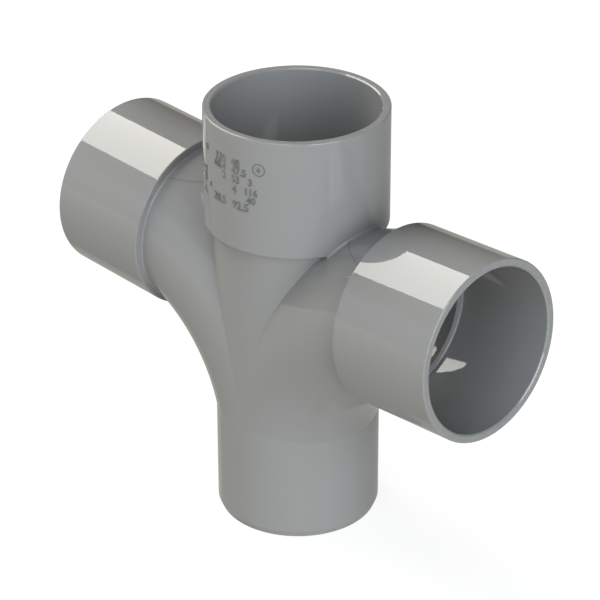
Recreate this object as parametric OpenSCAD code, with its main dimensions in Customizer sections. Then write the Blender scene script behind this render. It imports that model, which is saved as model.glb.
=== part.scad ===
// Swept cross tee for waste pipe, one moulding. A spigot at the foot goes into the pipe or fitting
// below, and a socket at the head and one on each swept branch take a pipe each.
// The spigot's end face is centred on the origin, the run stands along +Z and the branches lie
// along X, each rising a little towards its mouth so that it drains into the run.

/* [Pipe] */
// Outside diameter of the pipe that the sockets take, and of the spigot
pipe_d = 43; // [32:0.5:56]
// Gap between a pipe and its socket, on the diameter
socket_gap = 0.2; // [0.1:0.05:0.4]

/* [Layout] */
// Height of the crossing of the run and the branches above the spigot's end
cross_z = 68.4; // [62:0.1:90]
// Distance from the crossing to the top socket's mouth
top_len = 47.5; // [44:0.1:70]
// Distance from the crossing to a branch socket's mouth
branch_len = 66.8; // [62:0.1:95]
// Angle between a branch and the lower part of the run
branch_angle = 92.5; // [88:0.5:98]

/* [Sweeps] */
// Centreline radius of a swept branch
sweep_bend = 53; // [49:0.5:75]
// Distance from the crossing at which the sweep's centreline meets the run and the branch
sweep_reach = 37.3; // [35:0.1:42]
// Step in from the spigot's surface to the swept branches
sweep_step = 0.05; // [0.05:0.05:0.4]
// Further step in from the swept branches to the run between them
run_step = 0.1; // [0.05:0.05:0.4]
// How far the spigot runs up past the foot of the sweeps
spigot_rise = 1.6; // [1:0.1:4]
// Height between the end of the spigot's parallel wall and the throats of the sweeps
throat_gap = 0.4; // [0.2:0.1:2]
// Draft of the spigot above its parallel wall, in degrees
root_draft = 0.5; // [0.1:0.1:1]

/* [Walls] */
// Wall of the spigot
spigot_wall = 1.8; // [1.4:0.1:3]
// Wall of a socket
socket_wall = 2.2; // [1.6:0.1:3.5]
// How much smaller the waterway of a branch is than that of the run, on the radius
branch_core_step = 0.1; // [0.05:0.05:0.4]

/* [Sockets] */
// Depth of a socket from its mouth to the pipe stop
socket_depth = 28.5; // [24:0.1:32]
// Thickness between a branch socket's pipe stop and its outer shoulder
branch_shoulder = 2.1; // [1.5:0.1:4]
// Thickness between the top socket's pipe stop and its outer shoulder
top_shoulder = 3.2; // [2:0.1:4]

/* [Edges] */
// Radius of the outer edge of a socket's mouth
rim_round = 0.4; // [0.2:0.1:0.8]
// Radius of the outer edge of a socket's shoulder
shoulder_round = 0.35; // [0.2:0.05:0.8]
// Width of the lead-in chamfer inside a socket's mouth
lead_w = 0.4; // [0.2:0.1:0.8]
// Depth of the lead-in chamfer inside a socket's mouth
lead_h = 0.5; // [0.2:0.1:1.5]
// Width of the chamfer round the spigot's end
spigot_chamfer_w = 0.7; // [0.3:0.1:1]
// Height of the chamfer round the spigot's end
spigot_chamfer_h = 1.7; // [0.5:0.1:3]

/* [Hidden] */
$fn = 180;

// Radii, from the outside in
spigot_r = pipe_d / 2;
sweep_r = spigot_r - sweep_step;
run_r = sweep_r - run_step;
socket_bore_r = (pipe_d + socket_gap) / 2;
socket_r = socket_bore_r + socket_wall;
run_bore_r = spigot_r - spigot_wall;
branch_bore_r = run_bore_r - branch_core_step;

// Heights along the run
top_z = cross_z + top_len;
top_stop_z = top_z - socket_depth;
top_shoulder_z = top_stop_z - top_shoulder;
spigot_top_z = cross_z - sweep_reach + spigot_rise;

// Distances along a branch, from the crossing
branch_stop = branch_len - socket_depth;
branch_root = branch_stop - branch_shoulder;

// The arc of a sweep crosses both axes at sweep_reach. Its centre lies on the line that halves
// the angle between them, on the side of the throat.
half_angle = branch_angle / 2;
arc_centre = sweep_reach * cos(half_angle) + sqrt(pow(sweep_bend, 2) - pow(sweep_reach * sin(half_angle), 2));
arc_x = arc_centre * sin(half_angle);
arc_z = cross_z - arc_centre * cos(half_angle);
// Angles round that centre, from +X towards +Z: the foot lies on the run's axis, and the arc goes
// on inside the socket to the point where it runs along the branch
arc_foot = 180 - acos(arc_x / sweep_bend);
arc_end = branch_angle;

// Height at which the throats leave the spigot, where its parallel wall has ended, and the
// radius to which the draft brings the spigot's top
throat_z = arc_z + sqrt(pow(sweep_bend - sweep_r, 2) - pow(arc_x - spigot_r, 2));
spigot_wall_end = throat_z - throat_gap;
spigot_top_r = spigot_r - (spigot_top_z - spigot_wall_end) * tan(root_draft);

// How far cutting shapes run past the faces they cut, and the run into the solids it joins
over = 1;

// Corner to cut away so that an arc of radius r is left in it
module corner_waste(r) {
  difference() {
    square(r + over);
    circle(r);
  }
}

// Half section of a socket's outside, between two heights on its axis
module socket_section(low, high) {
  difference() {
    translate([0, low]) square([socket_r, high - low]);
    translate([socket_r - rim_round, high - rim_round]) corner_waste(rim_round);
    translate([socket_r - shoulder_round, low + shoulder_round]) mirror([0, 1]) corner_waste(shoulder_round);
  }
}

// Half section of a socket's bore: a parallel bore from the pipe stop to the mouth, with a lead-in
module socket_bore_section(stop, mouth) {
  polygon([
    [0, stop],
    [socket_bore_r, stop],
    [socket_bore_r, mouth - lead_h],
    [socket_bore_r + lead_w, mouth],
    [socket_bore_r + lead_w, mouth + over],
    [0, mouth + over]
  ]);
}

// Turns the children's Z axis to run along a branch from the crossing, side 1 to +X or -1 to -X
module along_branch(side) {
  translate([0, 0, cross_z]) rotate([0, side * (180 - branch_angle), 0]) children();
}

// Tube of a swept branch, from the run's axis up into the branch socket
module sweep(side, radius) {
  mirror([side < 0 ? 1 : 0, 0, 0])
    translate([arc_x, 0, arc_z])
      rotate([90, 0, 0])
        rotate([0, 0, arc_end])
          rotate_extrude(angle = arc_foot - arc_end)
            translate([sweep_bend, 0]) circle(radius);
}

// Spigot with its chamfered end, its parallel wall and the drafted stretch between the sweeps
module spigot_solid() {
  rotate_extrude()
    polygon([
      [0, 0],
      [spigot_r - spigot_chamfer_w, 0],
      [spigot_r, spigot_chamfer_h],
      [spigot_r, spigot_wall_end],
      [spigot_top_r, spigot_top_z],
      [0, spigot_top_z]
    ]);
}

// Everything outside: spigot, run, three sockets and two sweeps
module outside() {
  spigot_solid();
  translate([0, 0, spigot_top_z - over])
    cylinder(r = run_r, h = top_shoulder_z - spigot_top_z + 2 * over);
  rotate_extrude() socket_section(top_shoulder_z, top_z);
  for (side = [-1, 1]) {
    sweep(side, sweep_r);
    along_branch(side) rotate_extrude() socket_section(branch_root, branch_len);
  }
}

// Everything that water or a pipe goes through
module waterways() {
  translate([0, 0, -over]) cylinder(r = run_bore_r, h = top_stop_z + 2 * over);
  rotate_extrude() socket_bore_section(top_stop_z, top_z);
  for (side = [-1, 1]) {
    sweep(side, branch_bore_r);
    along_branch(side) rotate_extrude() socket_bore_section(branch_stop, branch_len);
  }
}

module tee_body() {
  color("#8c8c8a")
    difference() {
      outside();
      waterways();
    }
}

tee_body();
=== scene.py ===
import bpy
import math
from mathutils import Matrix, Quaternion, Vector


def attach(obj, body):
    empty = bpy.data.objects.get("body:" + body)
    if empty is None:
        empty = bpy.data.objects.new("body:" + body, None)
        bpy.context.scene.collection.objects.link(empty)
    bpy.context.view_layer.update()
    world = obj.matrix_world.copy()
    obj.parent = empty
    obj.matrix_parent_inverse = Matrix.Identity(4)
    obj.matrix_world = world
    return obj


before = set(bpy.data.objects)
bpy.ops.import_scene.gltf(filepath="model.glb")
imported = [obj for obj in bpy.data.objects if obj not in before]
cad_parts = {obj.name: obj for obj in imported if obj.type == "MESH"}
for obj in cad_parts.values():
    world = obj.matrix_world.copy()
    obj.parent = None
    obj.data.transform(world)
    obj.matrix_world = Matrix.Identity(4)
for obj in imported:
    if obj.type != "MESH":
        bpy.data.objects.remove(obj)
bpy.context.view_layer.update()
scene = bpy.context.scene
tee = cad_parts["tee_body"]
mm = 0.001

# the fitting's own sizes in millimetres and degrees, the same as in the part's source
tube = {
    "crossZ": 68.4,
    "topLength": 47.5,
    "branchLength": 66.8,
    "branchRise": 2.5,
    "sweepReach": 37.3,
    "sweepBend": 53.0,
    "sweepR": 21.45,
    "socketR": 23.8,
    "boreR": 21.6,
    "socketDepth": 28.5,
    "topShoulder": 3.2,
    "branchShoulder": 2.1,
}
rise = math.radians(tube["branchRise"])
crossing = Vector((0, 0, tube["crossZ"]))
topZ = tube["crossZ"] + tube["topLength"]
sideNames = {1: "right", -1: "left"}


def branchAxis(side):
    # the way from the crossing out to a branch's mouth
    return Vector((side * math.cos(rise), 0, math.sin(rise)))


def arcCentre(side):
    # the middle of a sweep's arc lies on the line that halves the angle between spigot and branch
    half = (math.pi / 2 + rise) / 2
    reach = tube["sweepReach"]
    far = reach * math.cos(half) + math.sqrt(tube["sweepBend"] ** 2 - (reach * math.sin(half)) ** 2)
    return Vector((side * far * math.sin(half), 0, tube["crossZ"] - far * math.cos(half)))


def letGo():
    # nothing stays selected from the piece before
    if bpy.context.object and bpy.context.object.mode != "OBJECT":
        bpy.ops.object.mode_set(mode="OBJECT")
    bpy.ops.object.select_all(action="DESELECT")


def pick(piece):
    letGo()
    piece.select_set(True)
    bpy.context.view_layer.objects.active = piece


def restPlace(piece):
    # the place goes into the mesh and the object stays at the origin
    pick(piece)
    bpy.ops.object.transform_apply(location=True, rotation=True, scale=True)


# the photograph's camera: degrees and millimetres, and its focal length in pixels of its square picture
shot = {
    "azimuth": 45.355,
    "elevation": 28.805,
    "roll": -0.195,
    "distance": 737.7,
    "focal": 2835.2,
    "picture": 600,
    "across": 0.640,
    "height": 59.716,
    "sensor": 36,
    "nearest": 20,
    "farthest": 60000,
}


def setCamera():
    az, el, roll = (math.radians(shot[k]) for k in ("azimuth", "elevation", "roll"))
    back = Vector((math.sin(az) * math.cos(el), -math.cos(az) * math.cos(el), math.sin(el)))
    level = Vector((math.cos(az), math.sin(az), 0))
    side = math.cos(roll) * level + math.sin(roll) * back.cross(level)
    aim = shot["across"] * level + Vector((0, 0, shot["height"]))
    turn = Matrix((side, back.cross(side), back)).transposed().to_4x4()
    letGo()
    bpy.ops.object.camera_add()
    camera = bpy.context.object
    camera.name = "photo_camera"
    camera.matrix_world = Matrix.Translation((aim + shot["distance"] * back) * mm) @ turn
    camera.data.sensor_width = shot["sensor"]
    camera.data.lens = shot["sensor"] * shot["focal"] / shot["picture"]
    camera.data.clip_start = shot["nearest"] * mm
    camera.data.clip_end = shot["farthest"] * mm
    scene.camera = camera
    scene.view_settings.view_transform = "Standard"


setCamera()
print("camera set")

# a long warm softbox overhead on the left, a cool panel on the right and a weaker one in front:
# places and sizes in metres, turn and spread in degrees, and how bright each one's own face is
studio = {
    "softbox": {
        "spot": (-4.02, -0.287, 2.2), "faces": (0, 0, -1), "turn": 3.3, "wide": 5.61, "tall": 2.22,
        "bright": 7.1, "spread": 163, "tint": (0.977, 0.956, 0.903),
    },
    "sidePanel": {
        "spot": (2.84, -0.6, 0.83), "wide": 1.78, "tall": 2.31,
        "bright": 5.9, "tint": (0.926, 0.982, 1.033),
    },
    "frontPanel": {
        "spot": (0.857, -1.91, 2.22), "wide": 1.4, "tall": 4.2,
        "bright": 2.2, "tint": (0.846, 0.926, 1.032),
    },
}
fittingMiddle = Vector((0, 0, 0.06))


def addPanel(name, panel):
    # a panel with no facing of its own looks at the fitting
    spot = Vector(panel["spot"])
    way = Vector(panel["faces"]) if "faces" in panel else fittingMiddle - spot
    turn = Quaternion((0, 0, 1), math.radians(panel.get("turn", 0)))
    letGo()
    bpy.ops.object.light_add(type="AREA", location=spot)
    lamp = bpy.context.object
    lamp.name = name
    lamp.rotation_mode = "QUATERNION"
    lamp.rotation_quaternion = way.to_track_quat("-Z", "Y") @ turn
    lamp.data.spread = math.radians(panel.get("spread", 180))
    lamp.data.shape = "RECTANGLE"
    lamp.data.size = panel["wide"]
    lamp.data.size_y = panel["tall"]
    lamp.data.energy = panel["bright"] * math.pi * panel["wide"] * panel["tall"]
    lamp.data.color = panel["tint"]
    lamp.visible_camera = False


for name in studio:
    addPanel(name, studio[name])

# what the room itself adds: every glow lies towards one side, over or under heights in degrees.
# A larger fall draws it together round its azimuth. A fade is the depth under the horizon, in
# degrees, at which about a third of it is left
horizon = (-2.1, -1.5)
midWall = (24, 28)
glows = {
    "floorFront": {"azimuth": 20, "fall": 1.4, "colour": (0.862, 0.841, 0.773), "under": horizon},
    "floorBehind": {"azimuth": -135, "fall": 2, "colour": (0.283, 0.266, 0.236), "under": horizon},
    "floorRight": {"azimuth": 170, "colour": (0.154, 0.158, 0.154), "under": horizon},
    "floorEdge": {"azimuth": -45, "fall": 3, "fade": 10, "colour": (0.353, 0.373, 0.392), "under": horizon},
    "floorLeft": {"azimuth": -45, "fall": 2, "fade": 20, "colour": (0.213, 0.175, 0.095), "under": horizon},
    "wallFront": {
        "azimuth": -5, "fall": 4.5, "colour": (0.704, 0.811, 0.955), "over": horizon, "under": midWall,
    },
    "wallLeft": {
        "azimuth": -40, "fall": 2, "colour": (0.178, 0.119, 0.0), "over": horizon, "under": midWall,
    },
    "upperLeft": {
        "azimuth": -60, "fall": 3, "colour": (0.302, 0.27, 0.167), "over": midWall, "under": (73, 77),
    },
    "ceiling": {"azimuth": -20, "fall": 2, "colour": (0.085, 0.084, 0.061), "over": (33, 37)},
}
halfRoomEdge = 0.006  # how softly a glow with no fall ends, at the middle of the room


def feed(tree, socket, value):
    # a socket takes another node's output or a plain value
    if isinstance(value, bpy.types.NodeSocket):
        tree.links.new(value, socket)
    else:
        socket.default_value = value


def mathChain(tree, value, steps):
    # sends a value through one Math node after another
    for operation, amount in steps:
        node = tree.nodes.new("ShaderNodeMath")
        node.operation = operation
        tree.links.new(value, node.inputs[0])
        if amount is not None:
            node.inputs[1].default_value = amount
        value = node.outputs[0]
    return value


def joined(tree, operation, first, *others):
    # adds up values, multiplies them, or takes the largest of them
    for other in others:
        node = tree.nodes.new("ShaderNodeMath")
        node.operation = operation
        tree.links.new(first, node.inputs[0])
        tree.links.new(other, node.inputs[1])
        first = node.outputs[0]
    return first


def ramp(tree, value, low, high, start=0, end=1):
    node = tree.nodes.new("ShaderNodeMapRange")
    node.inputs["From Min"].default_value = low
    node.inputs["From Max"].default_value = high
    node.inputs["To Min"].default_value = start
    node.inputs["To Max"].default_value = end
    tree.links.new(value, node.inputs["Value"])
    return node.outputs["Result"]


def vectorStep(tree, operation, first, second=None):
    node = tree.nodes.new("ShaderNodeVectorMath")
    node.operation = operation
    feed(tree, node.inputs[0], first)
    if second is not None:
        feed(tree, node.inputs["Scale" if operation == "SCALE" else 1], second)
    return node.outputs["Value" if operation in ("DOT_PRODUCT", "LENGTH") else "Vector"]


def apart(tree, vector):
    node = tree.nodes.new("ShaderNodeSeparateXYZ")
    tree.links.new(vector, node.inputs[0])
    return [node.outputs[k] for k in "XYZ"]


def addGlow(tree, where, height, glow):
    # a glow without a fall fills its half of the room evenly
    az = math.radians(glow["azimuth"])
    share = vectorStep(tree, "DOT_PRODUCT", where, (math.sin(az), -math.cos(az), 0))
    if "fall" in glow:
        share = mathChain(tree, share, (("ADD", 1), ("MULTIPLY", 0.5), ("POWER", glow["fall"])))
    else:
        share = ramp(tree, share, -halfRoomEdge, halfRoomEdge)
    sines = {k: [math.sin(math.radians(a)) for a in glow[k]] for k in ("over", "under") if k in glow}
    if "over" in glow:
        share = joined(tree, "MULTIPLY", share, ramp(tree, height, *sines["over"]))
    if "under" in glow:
        share = joined(tree, "MULTIPLY", share, ramp(tree, height, *sines["under"], 1, 0))
    if "fade" in glow:
        steps = (("ARCSINE", None), ("MULTIPLY", math.degrees(1 / glow["fade"])), ("EXPONENT", None))
        share = joined(tree, "MULTIPLY", share, mathChain(tree, height, steps))
    return vectorStep(tree, "SCALE", glow["colour"], share)


def makeRoom():
    world = bpy.data.worlds.new("studio_room")
    scene.world = world
    world.use_nodes = True
    tree = world.node_tree
    tree.nodes.clear()
    add = tree.nodes.new
    link = tree.links.new
    out = add("ShaderNodeOutputWorld")
    whiteSky = add("ShaderNodeBackground")
    roomLight = add("ShaderNodeBackground")
    pickSky = add("ShaderNodeMixShader")
    path = add("ShaderNodeLightPath")
    whiteSky.inputs["Color"].default_value = (1, 1, 1, 1)
    link(path.outputs["Is Camera Ray"], pickSky.inputs["Fac"])
    link(roomLight.outputs[0], pickSky.inputs[1])
    link(whiteSky.outputs[0], pickSky.inputs[2])
    link(pickSky.outputs[0], out.inputs["Surface"])
    where = add("ShaderNodeTexCoord").outputs["Generated"]
    height = apart(tree, where)[2]
    lights = [addGlow(tree, where, height, glow) for glow in glows.values()]
    total = lights[0]
    for light in lights[1:]:
        total = vectorStep(tree, "ADD", total, light)
    link(total, roomLight.inputs["Color"])


makeRoom()

floorSize = {"radius": 5.0, "corners": 96, "drop": 0.00005, "glow": 0.86, "paint": 0.2}


def floorPaint():
    # a matt paint, and a plain glow that only the camera sees
    paint = bpy.data.materials.new("floor_paint")
    paint.use_nodes = True
    tree = paint.node_tree
    tree.nodes.clear()
    add = tree.nodes.new
    link = tree.links.new
    out = add("ShaderNodeOutputMaterial")
    matt = add("ShaderNodeBsdfDiffuse")
    glow = add("ShaderNodeEmission")
    both = add("ShaderNodeAddShader")
    path = add("ShaderNodeLightPath")
    c = floorSize["paint"]
    matt.inputs["Color"].default_value = (c, c, c, 1)
    seen = mathChain(tree, path.outputs["Is Camera Ray"], (("MULTIPLY", floorSize["glow"]),))
    link(seen, glow.inputs["Strength"])
    link(matt.outputs[0], both.inputs[0])
    link(glow.outputs[0], both.inputs[1])
    link(both.outputs[0], out.inputs["Surface"])
    return paint


def makeFloor():
    letGo()
    bpy.ops.mesh.primitive_circle_add(vertices=floorSize["corners"], radius=floorSize["radius"],
                                      fill_type="NGON", location=(0, 0, -floorSize["drop"]))
    floor = bpy.context.object
    floor.name = "studio_floor"
    restPlace(floor)
    floor.data.materials.append(floorPaint())
    # the fitting is lit by the room's own glow below it, and the floor only takes its shadow
    floor.visible_diffuse = False
    floor.visible_glossy = False
    floor.visible_shadow = False


makeFloor()
print("light and floor ready")

# grey moulded plastic: least roughness and how much it varies, cloudy colour, orange peel in metres.
# The figures are darker and duller, a painted shade that stands in for the shade along the raised strokes,
# so that they can be read
plastic = {"colour": (0.255, 0.255, 0.252, 1), "rough": 0.014, "uneven": 0.02, "cloud": 0.016, "peel": 3e-6}
figures = {"colour": (0.145, 0.145, 0.143, 1), "rough": 0.22, "uneven": 0.12, "cloud": 0.05, "peel": 6e-6}
# the skin's marks: how many to a metre (a hairline's are set by its own stretch), how finely they
# break up, from where to where they show, and what they do to the colour, gloss or height
skinMarks = {
    "clouds": {"scale": 28, "detail": 3, "strength": 2},
    "flecks": {"scale": 1500, "detail": 2, "strength": 0.8},
    # chipped edges: rougher from wear, and lighter in colour as a painted highlight on the rims
    "chipsAndRimHighlight": {"scale": 700, "detail": 3, "shows": (0.4, 0.62), "rimHighlight": 0.06, "rougher": 0.12},
    "hairs": {"scale": 1, "detail": 2, "shows": (0.66, 0.76), "rougher": 0.05, "high": 1e-6},
    "drawn": {"scale": 0.4, "detail": 2, "rougher": 0.02},
    "gloss": {"scale": 60, "detail": 2},
    "peel": {"scale": 1400, "detail": 2},
    # painted shade on the pipe stops: how much darker their colour is made
    "stopShade": {"darker": 0.3},
}


def noise(tree, where, marks):
    node = tree.nodes.new("ShaderNodeTexNoise")
    node.inputs["Scale"].default_value = marks["scale"]
    node.inputs["Detail"].default_value = marks["detail"]
    tree.links.new(where, node.inputs["Vector"])
    return node.outputs["Fac"]


def bump(tree, height, distance, normal=None):
    # distance is in metres
    node = tree.nodes.new("ShaderNodeBump")
    tree.links.new(height, node.inputs["Height"])
    feed(tree, node.inputs["Distance"], distance)
    if normal is not None:
        tree.links.new(normal, node.inputs["Normal"])
    return node.outputs["Normal"]


def makeSkin():
    # the plastic's surface, for the fitting and its figures
    tree = bpy.data.node_groups.new("moulded_skin", "ShaderNodeTree")
    takes = {
        "Position": "Vector", "Grain": "Vector", "Colour": "Color", "Cloud": "Float", "Roughness": "Float",
        "Uneven": "Float", "Peel": "Float", "WornAndRimLit": "Float", "Inside": "Float", "StopShade": "Float",
    }
    gives = {"Colour": "Color", "Roughness": "Float", "Normal": "Vector"}
    for names, way in ((takes, "INPUT"), (gives, "OUTPUT")):
        for name in names:
            tree.interface.new_socket(name=name, in_out=way, socket_type="NodeSocket" + names[name])
    given = tree.nodes.new("NodeGroupInput").outputs
    out = tree.nodes.new("NodeGroupOutput").inputs
    place = given["Position"]
    m = skinMarks

    def scaled(value, amount):
        return mathChain(tree, value, (("MULTIPLY", amount),))

    def eitherWay(marks):
        # darker and lighter than the plain colour, as much one way as the other
        return scaled(mathChain(tree, noise(tree, place, marks), (("SUBTRACT", 0.5),)), marks["strength"])

    # where the edges are chipped and carry a painted highlight, where hairlines show, and how the inside is
    # drawn
    wearAndRimHighlight = ramp(tree, noise(tree, place, m["chipsAndRimHighlight"]), *m["chipsAndRimHighlight"]["shows"])
    wearAndRimHighlight = joined(tree, "MULTIPLY", given["WornAndRimLit"], wearAndRimHighlight)
    hairs = ramp(tree, noise(tree, given["Grain"], m["hairs"]), *m["hairs"]["shows"])
    drawn = joined(tree, "MULTIPLY", given["Inside"], noise(tree, given["Grain"], m["drawn"]))
    # the colour
    change = joined(tree, "ADD", eitherWay(m["clouds"]), eitherWay(m["flecks"]))
    change = joined(tree, "MULTIPLY", given["Cloud"], change)
    # painted highlight: the worn edges' colour is made lighter
    rimHighlight = mathChain(tree, wearAndRimHighlight, (("MULTIPLY", m["chipsAndRimHighlight"]["rimHighlight"]), ("ADD", 1)))
    # painted shade: the pipe stops' colour is made darker
    shade = joined(tree, "ADD", change, rimHighlight, scaled(given["StopShade"], -m["stopShade"]["darker"]))
    tree.links.new(vectorStep(tree, "SCALE", given["Colour"], shade), out["Colour"])
    # the gloss
    uneven = joined(tree, "MULTIPLY", given["Uneven"], noise(tree, place, m["gloss"]))
    rough = joined(tree, "ADD", given["Roughness"], uneven, scaled(hairs, m["hairs"]["rougher"]),
                   scaled(wearAndRimHighlight, m["chipsAndRimHighlight"]["rougher"]), scaled(drawn, m["drawn"]["rougher"]))
    tree.links.new(rough, out["Roughness"])
    # the height
    peeled = bump(tree, noise(tree, place, m["peel"]), given["Peel"])
    tree.links.new(bump(tree, hairs, m["hairs"]["high"], peeled), out["Normal"])
    return tree


skin = makeSkin()


def mouldedMaterial(name, look):
    made = bpy.data.materials.new(name)
    made.use_nodes = True
    tree = made.node_tree
    surface = tree.nodes.new("ShaderNodeGroup")
    surface.node_tree = skin
    surface.inputs["Colour"].default_value = look["colour"]
    surface.inputs["Cloud"].default_value = look["cloud"]
    surface.inputs["Roughness"].default_value = look["rough"]
    surface.inputs["Uneven"].default_value = look["uneven"]
    surface.inputs["Peel"].default_value = look["peel"]
    where = tree.nodes.new("ShaderNodeTexCoord").outputs
    shader = tree.nodes["Principled BSDF"]
    tree.links.new(where["Object"], surface.inputs["Position"])
    tree.links.new(surface.outputs["Colour"], shader.inputs["Base Color"])
    tree.links.new(surface.outputs["Roughness"], shader.inputs["Roughness"])
    tree.links.new(surface.outputs["Normal"], shader.inputs["Normal"])
    return made, tree, where, surface, shader


# hairlines lie across the run and the sweeps, long along X, and end where the branches begin, in metres
hairlines = {"stretch": (30, 1500, 1500), "from": 0.0295, "to": 0.0305}
insideFrom = -0.004  # how far in metres a surface inside the run has to look towards the middle
# millimetres from each mouth or end at which the wear and the rims' painted highlight begin, and at which
# they are full
wearAndHighlightFrom = {"top": (1.4, 0.1), "branch": (1.3, 0.1), "foot": (2.1, 0.6)}
# how far in metres from a pipe stop the painted shade ends, and how squarely a surface has to face the mouth
stopShadeReach = {"thick": (0.0002, 0.0001), "faces": (0.7, 0.95)}
# the gate's place, size and height in metres, and where the top socket's front begins
gateMark = {
    "x": 0.0004, "z": 0.0925, "radius": 0.0021, "line": (0.0003, 0.0001), "front": (-0.0232, -0.0234),
    "high": 1.5e-5,
}


def together(tree, **parts):
    node = tree.nodes.new("ShaderNodeCombineXYZ")
    for k in parts:
        tree.links.new(parts[k], node.inputs[k])
    return node.outputs[0]


def unsigned(tree, value):
    return mathChain(tree, value, (("ABSOLUTE", None),))


def edgeWearAndHighlight(tree, z, reach):
    # handled edges, rougher from wear and lighter as a painted highlight: the three mouths and the spigot's
    # foot
    atTop = ramp(tree, z, *((topZ - far) * mm for far in wearAndHighlightFrom["top"]))
    atFoot = ramp(tree, z, *(far * mm for far in wearAndHighlightFrom["foot"]))
    atBranches = ramp(tree, reach, *((tube["branchLength"] - far) * mm for far in wearAndHighlightFrom["branch"]))
    return joined(tree, "MAXIMUM", atTop, atFoot, atBranches)


def paintedStopShade(tree, normal, z, reach):
    # painted shade: the pipe stops' faces are darkened in colour, as if shade lay in that corner
    across, _, upwards = apart(tree, normal)
    shadedStops = []
    for place, mouth, way in ((reach, tube["branchLength"], across), (z, topZ, upwards)):
        stop = (mouth - tube["socketDepth"]) * mm
        level = unsigned(tree, mathChain(tree, place, (("SUBTRACT", stop),)))
        faces = ramp(tree, unsigned(tree, way), *stopShadeReach["faces"])
        shadedStops.append(joined(tree, "MULTIPLY", ramp(tree, level, *stopShadeReach["thick"]), faces))
    return joined(tree, "MAXIMUM", *shadedStops)


def gateWitness(tree, x, y, z):
    # the faint round witness of the gate, low on the top socket's front
    flat = together(tree, X=mathChain(tree, x, (("SUBTRACT", gateMark["x"]),)),
                    Z=mathChain(tree, z, (("SUBTRACT", gateMark["z"]),)))
    away = vectorStep(tree, "LENGTH", flat)
    ring = unsigned(tree, mathChain(tree, away, (("SUBTRACT", gateMark["radius"]),)))
    return joined(tree, "MULTIPLY", ramp(tree, ring, *gateMark["line"]), ramp(tree, y, *gateMark["front"]))


def greyMoulding():
    made, tree, where, surface, shader = mouldedMaterial("moulded_grey", plastic)
    x, y, z = apart(tree, where["Object"])
    outward = unsigned(tree, x)
    overCross = mathChain(tree, z, (("SUBTRACT", tube["crossZ"] * mm),))
    # how far out along a branch, and how high over its axis
    reach = joined(tree, "ADD", mathChain(tree, outward, (("MULTIPLY", math.cos(rise)),)),
                   mathChain(tree, overCross, (("MULTIPLY", math.sin(rise)),)))
    overAxis = joined(tree, "ADD", overCross, mathChain(tree, outward, (("MULTIPLY", -math.tan(rise)),)))
    onRun = ramp(tree, outward, hairlines["from"], hairlines["to"], 1, 0)
    grain = vectorStep(tree, "MULTIPLY", where["Object"], hairlines["stretch"])
    tree.links.new(vectorStep(tree, "SCALE", grain, onRun), surface.inputs["Grain"])
    # inside the run and the sweeps a surface looks towards the branches' axis or the plane through it
    facing = vectorStep(tree, "DOT_PRODUCT", together(tree, Y=y, Z=overAxis), where["Normal"])
    facing = joined(tree, "MULTIPLY", onRun, facing)
    tree.links.new(ramp(tree, facing, 0, insideFrom), surface.inputs["Inside"])
    tree.links.new(edgeWearAndHighlight(tree, z, reach), surface.inputs["WornAndRimLit"])
    # the pipe stops' painted shade
    tree.links.new(paintedStopShade(tree, where["Normal"], z, reach), surface.inputs["StopShade"])
    marked = bump(tree, gateWitness(tree, x, y, z), gateMark["high"], surface.outputs["Normal"])
    tree.links.new(marked, shader.inputs["Normal"])
    return made


outside = greyMoulding()
# painted shade: the raised numbers get a darker colour than the plastic they are moulded in
paintedShadeNumbers = mouldedMaterial("number_grey_painted_shade", figures)[0]
tee.data.materials.clear()
tee.data.materials.append(outside)
print("plastic made")

finish = {"weld": 1e-7, "smoothUnder": 40}


def finishPiece(piece, name, look=None):
    piece.name = name
    piece.data.name = name
    pick(piece)
    bpy.ops.object.mode_set(mode="EDIT")
    bpy.ops.mesh.select_all(action="SELECT")
    bpy.ops.mesh.remove_doubles(threshold=finish["weld"])
    bpy.ops.mesh.normals_make_consistent(inside=False)
    bpy.ops.object.mode_set(mode="OBJECT")
    bpy.ops.object.shade_smooth_by_angle(angle=math.radians(finish["smoothUnder"]))
    piece.data.materials.clear()
    piece.data.materials.append(look or outside)
    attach(piece, "root")


def sweepGap(p, side):
    # distance of a point from the sweep's centreline, and the direction away from it
    middle = arcCentre(side)
    flat = Vector((p.x - middle.x, 0, p.z - middle.z))
    away = p - (middle + tube["sweepBend"] * flat.normalized())
    return away.length, away.normalized()


def rollCentre(line, between, side, ball):
    # the place on a line where a ball of that radius just touches the sweep's outside
    low, high = between
    for _ in range(50):  # halves the stretch until only one place is left
        middle = (low + high) / 2
        if sweepGap(line(middle), side)[0] < tube["sweepR"] + ball:
            low = middle
        else:
            high = middle
    return line(middle)


def filletSection(centre, ball, wallOut, side, f):
    # a hollow arc from the sweep to a wall, and one corner sunk into the moulding
    sweepOut = sweepGap(centre, side)[1]
    start, end = -sweepOut, -wallOut
    turn = start.angle(end)
    points = []
    for i in range(f["corners"] - 1):
        t = i / (f["corners"] - 2)
        way = (start * math.sin((1 - t) * turn) + end * math.sin(t * turn)) / math.sin(turn)
        points.append(centre + ball * way)
    inward = (sweepOut + wallOut) / (1 + sweepOut.dot(wallOut))
    points.append(centre - (ball + f["sink"]) * inward)
    return points


def setSections(sections):
    # a ring of the right count, with every corner of every section then put in its place
    corners = len(sections[0])
    letGo()
    bpy.ops.mesh.primitive_torus_add(major_segments=len(sections), minor_segments=corners,
                                     major_radius=tube["sweepR"] * mm, minor_radius=mm)
    piece = bpy.context.object
    for k, v in enumerate(piece.data.vertices):
        v.co = sections[k // corners][k % corners] * mm
    return piece


# millimetres: the ball that rolls along the seam, and between which radii its middle lies
shoulderFillet = {"ball": 0.42, "sink": 0.25, "corners": 7, "steps": 180, "between": (15, 30)}


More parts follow.
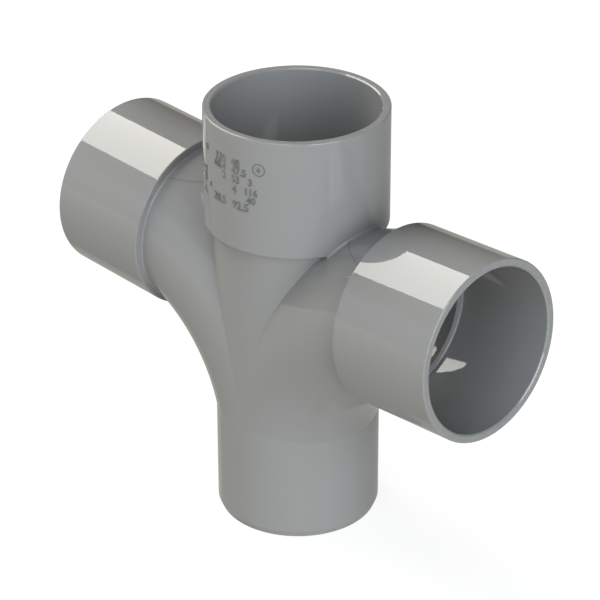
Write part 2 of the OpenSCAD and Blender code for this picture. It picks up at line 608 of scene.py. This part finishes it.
def makeShoulderFillet(side):
    # the hollow between a sweep and the shoulder of its branch socket
    f = shoulderFillet
    axis = branchAxis(side)
    across = Vector((0, 1, 0))
    upright = axis.cross(across) * side
    ledge = tube["branchLength"] - tube["socketDepth"] - tube["branchShoulder"]
    start = crossing + (ledge - f["ball"]) * axis
    sections = []
    for k in range(f["steps"]):
        turn = 2 * math.pi * k / f["steps"]
        out = math.cos(turn) * across + math.sin(turn) * upright
        centre = rollCentre(lambda t: start + t * out, f["between"], side, f["ball"])
        sections.append(filletSection(centre, f["ball"], -axis, side, f))
    finishPiece(setSections(sections), "shoulder_fillet_" + sideNames[side])


# the ball is least at both ends, which lie just above the top socket's shoulder, and full after
# a tenth of the way. It is looked for between two heights, and the ends in small turns
crotchFillet = {
    "ball": 0.55, "least": 0.3, "taper": 0.1, "sink": 0.25, "corners": 8, "steps": 80,
    "above": 0.05, "between": (70, 100), "lookEvery": 0.002,
}


def capEnds(piece, steps, corners):
    # what closed the ring from the last section to the first goes, and both ends are capped
    pick(piece)
    bpy.ops.object.mode_set(mode="EDIT")
    bpy.ops.mesh.select_mode(type="EDGE")
    bpy.ops.mesh.select_all(action="DESELECT")
    bpy.ops.object.mode_set(mode="OBJECT")
    tail = (steps - 1) * corners
    for edge in piece.data.edges:
        edge.select = min(edge.vertices) < corners and max(edge.vertices) >= tail
    bpy.ops.object.mode_set(mode="EDIT")
    bpy.ops.mesh.delete(type="EDGE")
    bpy.ops.mesh.select_all(action="SELECT")
    bpy.ops.mesh.fill_holes(sides=corners)
    bpy.ops.object.mode_set(mode="OBJECT")


def makeCrotchFillet(side):
    # the hollow where a sweep runs up against the top socket
    f = crotchFillet
    lowest = topZ - tube["socketDepth"] - tube["topShoulder"] + f["above"]

    def section(turn, ball):
        out = Vector((side * math.cos(turn), math.sin(turn), 0))
        foot = (tube["socketR"] + ball) * out
        centre = rollCentre(lambda t: foot + Vector((0, 0, t)), f["between"], side, ball)
        return centre, filletSection(centre, ball, out, side, f)

    last = 0.0
    while section(last, f["least"])[0].z > lowest:
        last += f["lookEvery"]
    sections = []
    for k in range(f["steps"]):
        share = 2 * k / (f["steps"] - 1) - 1
        ball = f["least"] + (f["ball"] - f["least"]) * min(1, (1 - abs(share)) / f["taper"])
        sections.append(section(share * last, ball)[1])
    piece = setSections(sections)
    capEnds(piece, f["steps"], f["corners"])
    finishPiece(piece, "crotch_fillet_" + sideNames[side])


for side in sideNames:
    makeShoulderFillet(side)
    makeCrotchFillet(side)
print("fillets made")

# the wedge's corners: how far outside the bore's wall, and how deep below the mouth
leadIn = {"wedge": ((0, 0.348), (0, 0.5), (0.42, 0.25), (0.4, 0.002))}
stopFillet = {"ball": 0.4, "sink": 0.15, "corners": 8}
spun = {"steps": 180, "weld": 1e-6}


def stopSection():
    # the hollow between a socket's bore and its pipe stop, with one corner sunk into the moulding
    f = stopFillet
    depth = tube["socketDepth"]
    section = []
    for i in range(f["corners"] - 1):
        turn = math.pi / 2 * i / (f["corners"] - 2)
        section.append((-f["ball"] * (1 - math.cos(turn)), depth - f["ball"] * (1 - math.sin(turn))))
    section.append((f["sink"], depth + f["sink"]))
    return section


def spinRing(name, section, mouth, axis):
    # a section spun round the socket's axis
    letGo()
    bpy.ops.mesh.primitive_circle_add(vertices=len(section), radius=mm)
    piece = bpy.context.object
    for v, (outer, depth) in zip(piece.data.vertices, section):
        v.co = (mouth + Vector((0, tube["boreR"] + outer, 0)) - depth * axis) * mm
    bpy.ops.object.mode_set(mode="EDIT")
    bpy.ops.mesh.select_all(action="SELECT")
    bpy.ops.mesh.spin(steps=spun["steps"], angle=2 * math.pi, center=mouth * mm, axis=axis)
    bpy.ops.mesh.select_all(action="SELECT")
    bpy.ops.mesh.remove_doubles(threshold=spun["weld"])
    bpy.ops.object.mode_set(mode="OBJECT")
    finishPiece(piece, name)


def makeSocketRings(name, length, axis):
    # a thin wedge makes the part's own lead-in a little flatter, and a fillet lies round the pipe stop
    mouth = crossing + length * axis
    spinRing(name + "_lead_in", leadIn["wedge"], mouth, axis)
    spinRing(name + "_stop_fillet", stopSection(), mouth, axis)


makeSocketRings("top", tube["topLength"], Vector((0, 0, 1)))
for side in sideNames:
    makeSocketRings(sideNames[side], tube["branchLength"], branchAxis(side))
print("socket rings made")

# the fitting's own sizes and a cavity's digits, as plain numbers on the top socket beside its front
# line: figures, millimetres round from that line, height, size and turn
numbers = {
    "raised": 0.2,
    "sunk": 0.12,
    "slope": 0.04,
    "clear": 0.002,
    "smooth": 3,
    "rows": (
        ("135", -2.95, 108.3, 2.9, 0), ("48", 2.3, 108.3, 2.9, 0),
        ("68.4", -3.3, 106.1, 2.8, 0), ("47.5", 3.35, 106.1, 2.8, 0),
        ("2", -1.6, 103.7, 2.8, 0), ("53", 2.3, 103.7, 2.8, 0),
        ("4", 1.85, 100.9, 3.2, 0), ("5", -7.9, 98.75, 2.1, 0),
        ("28.5", -3.6, 96.7, 3.1, 0), ("92.5", 3.7, 96.7, 3.1, 0),
        ("3", 6.85, 104.0, 2.6, 0), ("116", 6.9, 101.3, 2.6, 0), ("40", 6.95, 99.0, 2.6, 0),
        ("6", 9.14, 108.0, 1.9, 0), ("8", -10.0, 108.25, 2.8, 0),
        ("43.2", -11.3, 100.6, 2.6, 90), ("7", -11.2, 95.8, 2.6, 90),
    ),
    "ring": {"x": 9.14, "y": 108.0, "radius": 1.6, "wire": 0.12, "steps": 56, "corners": 8},
}


def flatDigits(words, x, y, height, turn):
    thick = numbers["raised"] + numbers["sunk"]
    letGo()
    bpy.ops.object.text_add(location=(x, y, 0), rotation=(0, 0, math.radians(turn)))
    line = bpy.context.object
    line.data.body = words
    line.data.size = height
    line.data.align_x = "CENTER"
    line.data.align_y = "CENTER"
    line.data.extrude = thick / 2 - numbers["slope"]
    line.data.bevel_depth = numbers["slope"]
    line.data.bevel_resolution = 0
    line.data.resolution_u = numbers["smooth"]
    bpy.ops.object.convert(target="MESH")
    made = bpy.context.object
    restPlace(made)
    return made


def flatRing(x, y, radius, wire, steps, corners):
    letGo()
    bpy.ops.mesh.primitive_torus_add(location=(x, y, 0), major_segments=steps, minor_segments=corners,
                                     major_radius=radius, minor_radius=wire)
    made = bpy.context.object
    restPlace(made)
    return made


def makeNumbers():
    pieces = [flatDigits(*row) for row in numbers["rows"]] + [flatRing(**numbers["ring"])]
    letGo()
    for piece in pieces:
        piece.select_set(True)
    bpy.context.view_layer.objects.active = pieces[0]
    bpy.ops.object.join()
    marks = bpy.context.object
    # the flat marks are bent round the wall, a little of each sunk into it, and lower towards its front line
    wall = tube["socketR"] + (numbers["raised"] - numbers["sunk"]) / 2
    for v in marks.data.vertices:
        turn = v.co.x / tube["socketR"] - math.pi / 2
        out = min(wall + v.co.z, (tube["socketR"] - numbers["clear"]) / -math.sin(turn))
        v.co = Vector((out * math.cos(turn), out * math.sin(turn), v.co.y)) * mm
    finishPiece(marks, "mould_numbers", paintedShadeNumbers)


makeNumbers()
print("numbers made")
